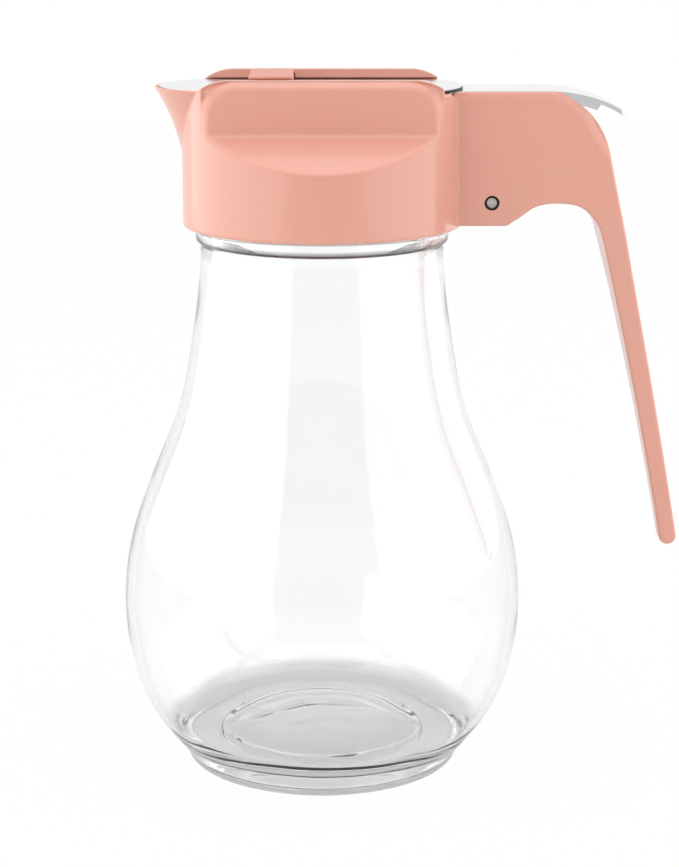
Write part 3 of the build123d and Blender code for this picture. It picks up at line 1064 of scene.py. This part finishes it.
    @staticmethod
    def apply(obj: bpy.types.Object) -> None:
        """Applies an object's modifiers.

        Args:
            obj: the object.
        """
        graph = bpy.context.evaluated_depsgraph_get()
        done = bpy.data.meshes.new_from_object(obj.evaluated_get(graph))
        obj.modifiers.clear()
        old = obj.data
        obj.data = done
        bpy.data.meshes.remove(old)

    def softness(self, place: Vector) -> float:
        """How much the moulding's surface is smoothed at a place.

        Args:
            place: where it is.

        Returns:
            A weight from nought to one.
        """
        outside = smooth_step(math.hypot(place.x, place.y), *self.soft_radius)
        scoop = smooth_step(abs(place.y), *self.soft_side)
        above = smooth_step(place.z, *self.soft_foot)
        below = 1.0 - smooth_step(place.z, *self.soft_top)
        handle = smooth_step(place.x, *self.soft_handle)
        lip = smooth_step(place.z, *self.lip_foot) * smooth_step(-place.x, *self.lip_start)
        return max(outside, scoop) * above * below * (1.0 - handle) * (1.0 - lip)


@dataclass
class Keeper:
    """The strap that holds the blade down."""

    edge: float = 0.14 * MM

    def build(self, plastic: bpy.types.Material) -> None:
        """Makes the strap.

        Args:
            plastic: its finish.
        """
        shape = Shape.of_node("blade_keeper").dissolve().bevel(self.edge, 3)
        piece = Piece("keeper_strap", "head", "pink_plastic_keeper", ("blade_keeper",), 40.0, True)
        shape.finish(piece, plastic)


# ----- gate -----------------------------------------------------------------------------------------


@dataclass
class Gate:
    """The sheet metal gate, its thumb lever and the two rivets that join them."""

    burr: float = 0.1 * MM
    tail_radius: float = 23.0 * MM
    tail_slope: float = 0.42 * MM
    tail_start: float = 20.0 * MM
    tail_top_start: float = 22.5 * MM
    tail_slack: Point2 = (0.05 * MM, 0.01 * MM)
    burr_area: float = 6.0 * MM * MM
    lift_start: float = 50.0 * MM
    lift: float = 0.9 * MM
    rivet_head: float = 1.6 * MM
    rivet_shank: float = 0.9 * MM
    rivet_dome: float = 0.35 * MM
    rivet_places: tuple[Point2, ...] = ((21.0 * MM, -5.0 * MM), (21.0 * MM, 5.0 * MM))
    rivet_steps: int = 48

    def build(self) -> None:
        """Makes the three pieces."""
        blade = Shape.of_node("slide_blade").dissolve()
        blade.bevel(self.tail_slope, 2, self.on_tail_top).bevel(self.burr, 2)
        blade.mark_shade_and_rings(self.is_tail_shade_face)
        # Painted shade: the tail's end faces are near black, for the shadow gap along the tail.
        steel = SheetSteel("blade steel", Lay.ALONG, cut=(0.03, 0.03, 0.03)).make()
        blade.finish(Piece("gate_blade", "gate", "blade_steel", ("slide_blade",), 40.0, True), steel)
        lever = Shape.of_node("thumb_lever").dissolve().bevel(self.burr, 2)
        # Painted shade: the lower bevels of the lever's edges are darker, for the shadow line under them.
        lever.mark_shade_and_rings(self.is_lower_edge_shade).move(self.tip_lift)
        steel = SheetSteel("lever steel", Lay.ALONG, roughness=0.17).make()
        lever.finish(Piece("thumb_plate", "gate", "lever_steel", ("thumb_lever",), 40.0, True), steel)
        self.build_rivets()

    def on_tail_top(self, place: Vector) -> bool:
        """Whether a place is on the upper edge of the blade's curved tail."""
        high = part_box("slide_blade")[1]
        off = math.hypot(place.x - high.x + self.tail_radius, place.y) - self.tail_radius
        on_top = place.z > high.z - self.tail_slack[1]
        return on_top and place.x > self.tail_top_start and abs(off) < self.tail_slack[0]

    def is_tail_shade_face(self, face: bmesh.types.BMFace) -> bool:
        """Whether a face is the end of the blade's tail, painted near black as the shadow gap along it."""
        return abs(face.normal.z) < 0.5 and face.calc_center_median().x > self.tail_start

    def is_lower_edge_shade(self, face: bmesh.types.BMFace) -> bool:
        """Whether a face is a lower bevel of an edge, painted dark as the shadow line under the lever's edge.
        """
        return -0.95 < face.normal.z < -0.3 and face.calc_area() < self.burr_area

    def tip_lift(self, place: Vector) -> Vector:
        """How far the lever's tip springs back up from its bend."""
        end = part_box("thumb_lever")[1].x
        share = smooth_step(place.x, self.lift_start, 2 * end - self.lift_start)
        return Vector((0.0, 0.0, 2.0 * self.lift * share))

    def build_rivets(self) -> None:
        """Makes the rivets with domed heads."""
        low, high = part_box("blade_rivets")
        bottom, top = low.z, high.z
        dome = self.rivet_dome
        head, shank = self.rivet_head, self.rivet_shank
        outline = [
            (0.0, bottom),
            *rounded([(head * 0.7, bottom), (head, bottom + dome * 0.45), (head, bottom + dome)], 0.2 * MM),
            (shank, bottom + dome),
            (shank, top - dome),
            *rounded([(head, top - dome), (head, top - dome * 0.45), (head * 0.7, top)], 0.2 * MM),
            (0.0, top),
        ]
        shape = Shape()
        for x, y in self.rivet_places:
            shape.spin(outline, self.rivet_steps, Vector((x, y, 0.0)))
        steel = SheetSteel("rivet steel", Lay.NONE, roughness=0.28).make()
        shape.finish(Piece("gate_rivets", "gate", "rivet_steel", ("blade_rivets",)), steel)


# ----- pin and spring ----------------------------------------------------------------------------------


@dataclass
class SpringSet:
    """The pin through the web and the torsion spring wound round it."""

    chamfer: float = 0.18 * MM
    pin_steps: int = 64
    ring_rise: float = 0.28 * MM
    ring_thickness: float = 0.03 * MM
    ring_width: float = 0.33 * MM
    ring_reach: Point2 = (0.98, 0.25 * MM)
    wire_radius: float = 0.45 * MM
    coil_radius: float = 2.4 * MM
    coil_pitch: float = 1.45 * MM
    long_leg_angle: float = math.radians(75.0)
    short_leg_angle: float = math.radians(31.5)
    long_leg: float = 17.37 * MM
    short_leg: float = 9.0 * MM
    whole_turns: int = 4
    turn_points: int = 40
    wire_sides: int = 16

    def build(self) -> None:
        """Makes the pin and the spring."""
        low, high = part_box("spring_pin")
        centre = (low + high) / 2
        radius, half = (high.x - low.x) / 2, (high.y - low.y) / 2
        cut = self.chamfer
        far_end = [
            *rounded(
                [
                    (radius - cut * 0.4, half - cut * 0.4),
                    (radius - cut, half),
                    (radius * 0.45, half - cut * 0.2),
                ],
                cut,
            ),
            (0.0, half - cut * 0.5),
        ]
        top, skin = half + self.ring_rise, self.ring_thickness
        seat = [
            (radius, top - skin), (radius + self.ring_width, top - skin),
            (radius + self.ring_width, top), (radius - skin, top), (radius - skin, half - cut * 0.6),
        ]
        half_line = [*seat, *far_end]
        outline = [*((r, -z) for r, z in reversed(half_line)), *half_line]
        pin = Shape().spin(outline, self.pin_steps, centre, Vector((0, 1, 0)))
        # The rim of each end of the pin, and the thin seat round it, are coloured dark.
        pin.mark_shade_and_rings(lambda face: self.is_dark_ring(face.calc_center_median() - centre, radius, half))
        steel = SheetSteel(
            "pin steel", Lay.NONE, (0.98, 0.94, 0.9), (0.4, 0.38, 0.36), 0.5, 30.0,
            smudge_scale=900.0, smudge_share=1.1, cut=(0.03, 0.02, 0.018),
        ).make()
        pin.finish(Piece("web_pin", "head", "pin_steel", ("spring_pin",)), steel)
        self.build_spring(centre)

    def is_dark_ring(self, place: Vector, radius: float, half: float) -> bool:
        """Whether a place of the pin is in the dark ring round one of its ends."""
        share, depth = self.ring_reach
        return abs(place.y) > half - depth and math.hypot(place.x, place.z) > radius * share

    def wire_line(self, centre: Vector) -> list[Vector]:
        """The middle line of the spring's wire.

        Args:
            centre: the middle of the pin.

        Returns:
            Its points, from the short leg's end to the long leg's end.
        """
        sweep = math.pi - self.long_leg_angle + self.short_leg_angle + 2 * math.pi * self.whole_turns
        length = self.coil_pitch * sweep / (2 * math.pi)
        first = self.short_leg_angle - math.pi / 2
        count = round(self.turn_points * sweep / (2 * math.pi))

        def at(share: float) -> tuple[Vector, Vector]:
            """A point of the coil and the direction there."""
            angle = first - sweep * share
            spot = Vector((math.cos(angle), 0.0, math.sin(angle))) * self.coil_radius
            spot.y = length * (share - 0.5)
            ahead = Vector((math.sin(angle), 0.0, -math.cos(angle)))
            ahead.y = self.coil_pitch / (2 * math.pi * self.coil_radius)
            return centre + spot, ahead.normalized()

        turns = [at(k / count)[0] for k in range(count + 1)]
        start, ahead = at(0.0)
        stop, onward = at(1.0)
        return [start - ahead * self.short_leg, *turns, stop + onward * self.long_leg]

    def build_spring(self, centre: Vector) -> None:
        """Makes the spring.

        Args:
            centre: the middle of the pin.
        """
        line = self.wire_line(centre)
        curve = bpy.data.curves.new("torsion_spring", "CURVE")
        curve.dimensions = "3D"
        curve.bevel_depth = self.wire_radius
        curve.bevel_resolution = self.wire_sides // 4
        curve.use_fill_caps = True
        spline = curve.splines.new("POLY")
        spline.points.add(len(line) - 1)
        for point, spot in zip(spline.points, line):
            point.co = (*spot, 1.0)
        holder = new_object("wire", curve)
        graph = bpy.context.evaluated_depsgraph_get()
        mesh = bpy.data.meshes.new_from_object(holder.evaluated_get(graph))
        bpy.data.objects.remove(holder)
        shape = Shape()
        shape.bm.from_mesh(mesh)
        steel = SheetSteel("spring wire", Lay.NONE, (0.62, 0.63, 0.64), (0.45, 0.46, 0.48), 0.24).make()
        shape.finish(Piece("torsion_spring", "head", "spring_steel", ("return_spring",)), steel)


# ----- studio ---------------------------------------------------------------------------------------------


@dataclass
class Studio:
    """Camera, floor, backdrop light and lamps."""

    image: tuple[int, int] = (679, 867)
    focal_pixels: float = 2295.1
    axis_column: float = 322.04
    camera_place: tuple[float, float, float] = (0.0, -480.0 * MM, 188.0 * MM)
    pitch: float = math.radians(13.66)
    sensor: float = 36.0
    floor_size: float = 6.0
    backdrop_place: float = 1.3
    backdrop_size: tuple[float, float] = (2.4, 1.8)
    surround: float = 0.47
    surround_in_gloss: float = 0.5
    surround_in_glass: float = 0.8
    floor_in_glass: float = 0.9
    floor_in_gloss: Point2 = (0.3, 0.9)
    floor_in_view: float = 0.975
    paper: float = 0.86
    gloss_reach: float = 150.0 * MM
    shade_in_glass: float = 0.3
    shade_reach: tuple[float, float] = (32.0 * MM, 54.0 * MM)

    def build(self) -> None:
        """Sets up the whole studio."""
        scene = bpy.context.scene
        scene.view_settings.view_transform = "Standard"
        self.build_camera(scene)
        self.build_floor()
        self.build_backdrop()
        self.build_world(scene)
        self.lamp("left softbox", (-0.493, -0.081, 0.26), (0.0, 0.0, 0.26), (1.3, 0.5), 2.6)
        self.lamp("right softbox", (0.5, -0.007, 0.26), (0.0, 0.0, 0.26), (1.4, 0.5), 2.4)
        self.lamp("top softbox", (0.0, -0.1, 1.05), (0.0, 0.0, 0.09), (1.5, 1.5), 7.8)

    def build_camera(self, scene: bpy.types.Scene) -> None:
        """Places the camera at the photograph's angle.

        Args:
            scene: the scene that it films.
        """
        width, height = self.image
        data = bpy.data.cameras.new("camera")
        data.sensor_width = self.sensor
        data.lens = self.focal_pixels * self.sensor / height
        data.shift_x = (width / 2 - self.axis_column) / height
        data.clip_start = 0.01
        camera = new_object("camera", data)
        camera.location = self.camera_place
        camera.rotation_euler = (math.pi / 2 - self.pitch, 0.0, 0.0)
        scene.camera = camera

    def build_floor(self) -> None:
        """A plain pale floor that keeps the object's shadow."""
        shape = bmesh.new()
        bmesh.ops.create_grid(shape, x_segments=1, y_segments=1, size=self.floor_size / 2)
        floor = mesh_object("floor", shape)
        material, tree = new_material("floor")
        path = tree.add("ShaderNodeLightPath")
        seen = tree.out(path, "Is Camera Ray") * self.floor_in_view
        behind = tree.out(tree.add("ShaderNodeSeparateXYZ", None, {0: tree.place()}), "Y") / self.gloss_reach
        before_it, behind_it = self.floor_in_gloss
        gloss = tree.clamp(behind) * (behind_it - before_it) + before_it
        seen = seen.most(tree.out(path, "Is Glossy Ray") * gloss)
        away = tree.out(tree.add("ShaderNodeVectorMath", {"operation": "LENGTH"}, {0: tree.place()}), "Value")
        near, far = self.shade_reach
        shade = tree.clamp((far - away) / (far - near)) * self.shade_in_glass
        seen = seen.most(tree.out(path, "Is Transmission Ray") * (self.floor_in_glass - shade))
        paper = tree.add("ShaderNodeBsdfDiffuse", None, {"Color": (self.paper, self.paper, self.paper, 1.0)})
        glow = tree.add("ShaderNodeEmission", None, {"Color": (1, 1, 1, 1), "Strength": 1.0})
        both = tree.add("ShaderNodeMixShader", None, {0: seen, 1: tree.out(paper), 2: tree.out(glow)})
        tree.add("ShaderNodeOutputMaterial", None, {"Surface": tree.out(both)})
        floor.data.materials.append(material)

    def build_backdrop(self) -> None:
        """A white card behind the object, as weak as the surround on matt surfaces."""
        width, height = self.backdrop_size
        shape = bmesh.new()
        stand = Matrix.Translation((0.0, self.backdrop_place, height / 2))
        stand = stand @ Matrix.Rotation(math.pi / 2, 4, "X")
        stand = stand @ Matrix.Diagonal((width / 2, height / 2, 1.0, 1.0))
        bmesh.ops.create_grid(shape, x_segments=1, y_segments=1, size=1.0, matrix=stand)
        backdrop = mesh_object("backdrop", shape)
        material, tree = new_material("backdrop")
        path = tree.add("ShaderNodeLightPath")
        seen = tree.out(path, "Is Camera Ray")
        seen = seen.most(tree.out(path, "Is Glossy Ray")).most(tree.out(path, "Is Transmission Ray"))
        strength = self.surround + seen * (1.0 - self.surround)
        glow = tree.add("ShaderNodeEmission", None, {"Color": (1, 1, 1, 1), "Strength": strength})
        tree.add("ShaderNodeOutputMaterial", None, {"Surface": tree.out(glow)})
        backdrop.data.materials.append(material)

    def build_world(self, scene: bpy.types.Scene) -> None:
        """A white backdrop, and a weaker surround for the light on matt surfaces.

        Args:
            scene: the scene.
        """
        world = bpy.data.worlds.new("surround")
        world.use_nodes = True
        tree = Tree(world.node_tree)
        path = tree.add("ShaderNodeLightPath")
        strength = tree.out(path, "Is Camera Ray")
        strength = strength.most(tree.out(path, "Is Glossy Ray") * self.surround_in_gloss)
        strength = strength.most(tree.out(path, "Is Transmission Ray") * self.surround_in_glass)
        strength = strength.most(self.surround)
        glow = tree.add("ShaderNodeBackground", None, {"Color": (1, 1, 1, 1), "Strength": strength})
        tree.add("ShaderNodeOutputWorld", None, {"Surface": tree.out(glow)})
        scene.world = world

    @staticmethod
    def lamp(name: str, place: Sequence[float], aim: Sequence[float], size: Point2, power: float) -> None:
        """Adds a softbox.

        Args:
            name: its name.
            place: where it stands.
            aim: the point that it faces.
            size: its width and height.
            power: its power in watts.
        """
        data = bpy.data.lights.new(name, "AREA")
        data.shape = "RECTANGLE"
        data.size, data.size_y = size
        data.energy = power
        lamp = new_object(name, data)
        lamp.location = place
        lamp.rotation_euler = (Vector(aim) - Vector(place)).to_track_quat("-Z", "Y").to_euler()


# ----- all of it --------------------------------------------------------------------------------------------


def main() -> None:
    """Builds every piece and the studio."""
    logging.basicConfig(level=logging.INFO, format="%(name)s: %(message)s")
    pink = MouldedPlastic("pink plastic", (0.75, 0.355, 0.27), (0.74, 0.335, 0.25)).make()
    # Painted shade: the keeper gets a darker, duller copy of the pink plastic.
    shaded_keeper_pink = MouldedPlastic(
        "pink keeper plastic", (0.70, 0.31, 0.23), (0.69, 0.295, 0.215), roughness=0.5, coat=0.0
    ).make()
    Jar().build()
    Gasket().build()
    PourHead().build(pink)
    Keeper().build(shaded_keeper_pink)
    Gate().build()
    SpringSet().build()
    Studio().build()


if __name__ == "__main__":
    main()
